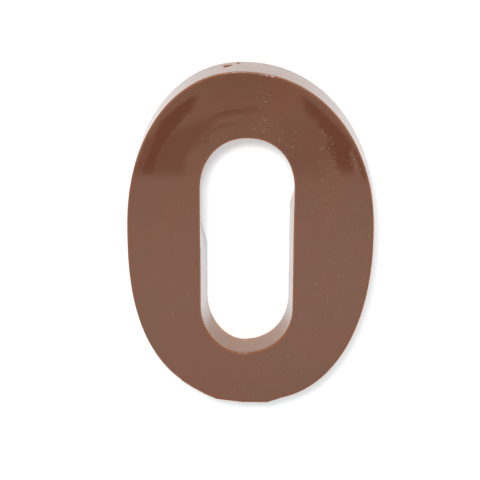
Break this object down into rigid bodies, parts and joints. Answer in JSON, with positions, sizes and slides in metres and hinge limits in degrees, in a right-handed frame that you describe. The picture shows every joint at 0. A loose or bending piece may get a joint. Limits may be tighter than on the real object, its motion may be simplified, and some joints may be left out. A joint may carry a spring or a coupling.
{
  "type": "chocolate number",
  "caption": "Solid moulded milk chocolate digit zero with a long round-ended hole, lying on its flat back with its smooth face up.",
  "frame": {"origin": "under the middle of the outline, on the surface that the digit lies on", "axes": "+Y from the digit's foot to its top, +Z out of its moulded face, +X to the right as it is read"},
  "size_m": [0.0798, 0.1112, 0.015],
  "materials": {
    "milk_chocolate": "satin, as chocolate cast against a polished mould"
  },
  "bodies": {
    "root": {"chocolate_zero": "milk_chocolate"}
  },
  "joints": []
}
